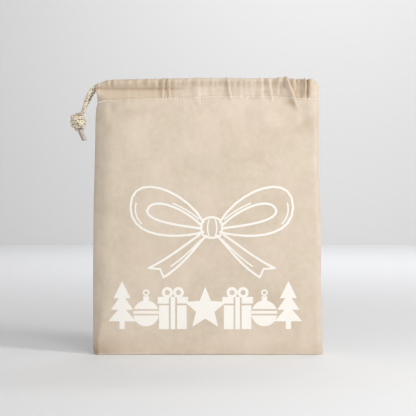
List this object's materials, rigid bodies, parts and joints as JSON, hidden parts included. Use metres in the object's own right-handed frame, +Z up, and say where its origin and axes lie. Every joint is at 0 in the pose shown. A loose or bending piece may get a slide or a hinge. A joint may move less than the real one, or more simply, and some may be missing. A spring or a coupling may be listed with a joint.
{
  "type": "fabric gift sack",
  "caption": "Natural calico gift sack with a drawstring channel, knotted cotton cord at the left and a white printed bow and gift motif.",
  "frame": {"origin": "Middle of the bottom of the sack, on the surface it stands on", "axes": "+Z up from the bottom to the mouth, -Y out of the printed front face, +X to the right as seen from the front; the cord leaves at the -X end of the mouth"},
  "size_m": [0.2753, 0.0282, 0.3],
  "materials": {
    "calico": "plain weave, unbleached, matt",
    "sewing_thread": "twisted cotton thread, matt",
    "cotton_cord": "braided, matt",
    "tip_wrap": "satin shrink wrap",
    "white_ink": "matt screen print"
  },
  "bodies": {
    "sack": {"front_panel": "calico", "back_panel": "calico", "front_channel": "calico", "back_channel": "calico", "channel_turn": "calico", "front_channel_stitching": "sewing_thread", "back_channel_stitching": "sewing_thread", "front_back_tack": "sewing_thread", "rear_back_tack": "sewing_thread", "left_seam_allowance": "calico", "right_seam_allowance": "calico", "bottom_seam_allowance": "calico", "left_seam_overlock": "sewing_thread", "right_seam_overlock": "sewing_thread", "bottom_seam_overlock": "sewing_thread", "bow_print": "white_ink", "gift_row_print": "white_ink"},
    "drawstring": {"drawstring_loop": "cotton_cord"},
    "cord_end": {"front_strand": "cotton_cord", "rear_strand": "cotton_cord", "cord_knot": "cotton_cord", "front_tip": "tip_wrap", "rear_tip": "tip_wrap"}
  },
  "joints": [
    {"name": "drawstring_pull", "type": "slide", "parent": "sack", "child": "drawstring", "axis": [-1, 0, 0], "range_m": [0, 0.12], "deforming": ["drawstring_loop"]},
    {"name": "knot_swing", "type": "hinge", "parent": "drawstring", "child": "cord_end", "pos_m": [-0.1185, 0, 0.291], "axis": [0, 1, 0], "range_deg": [-7, 65]}
  ]
}
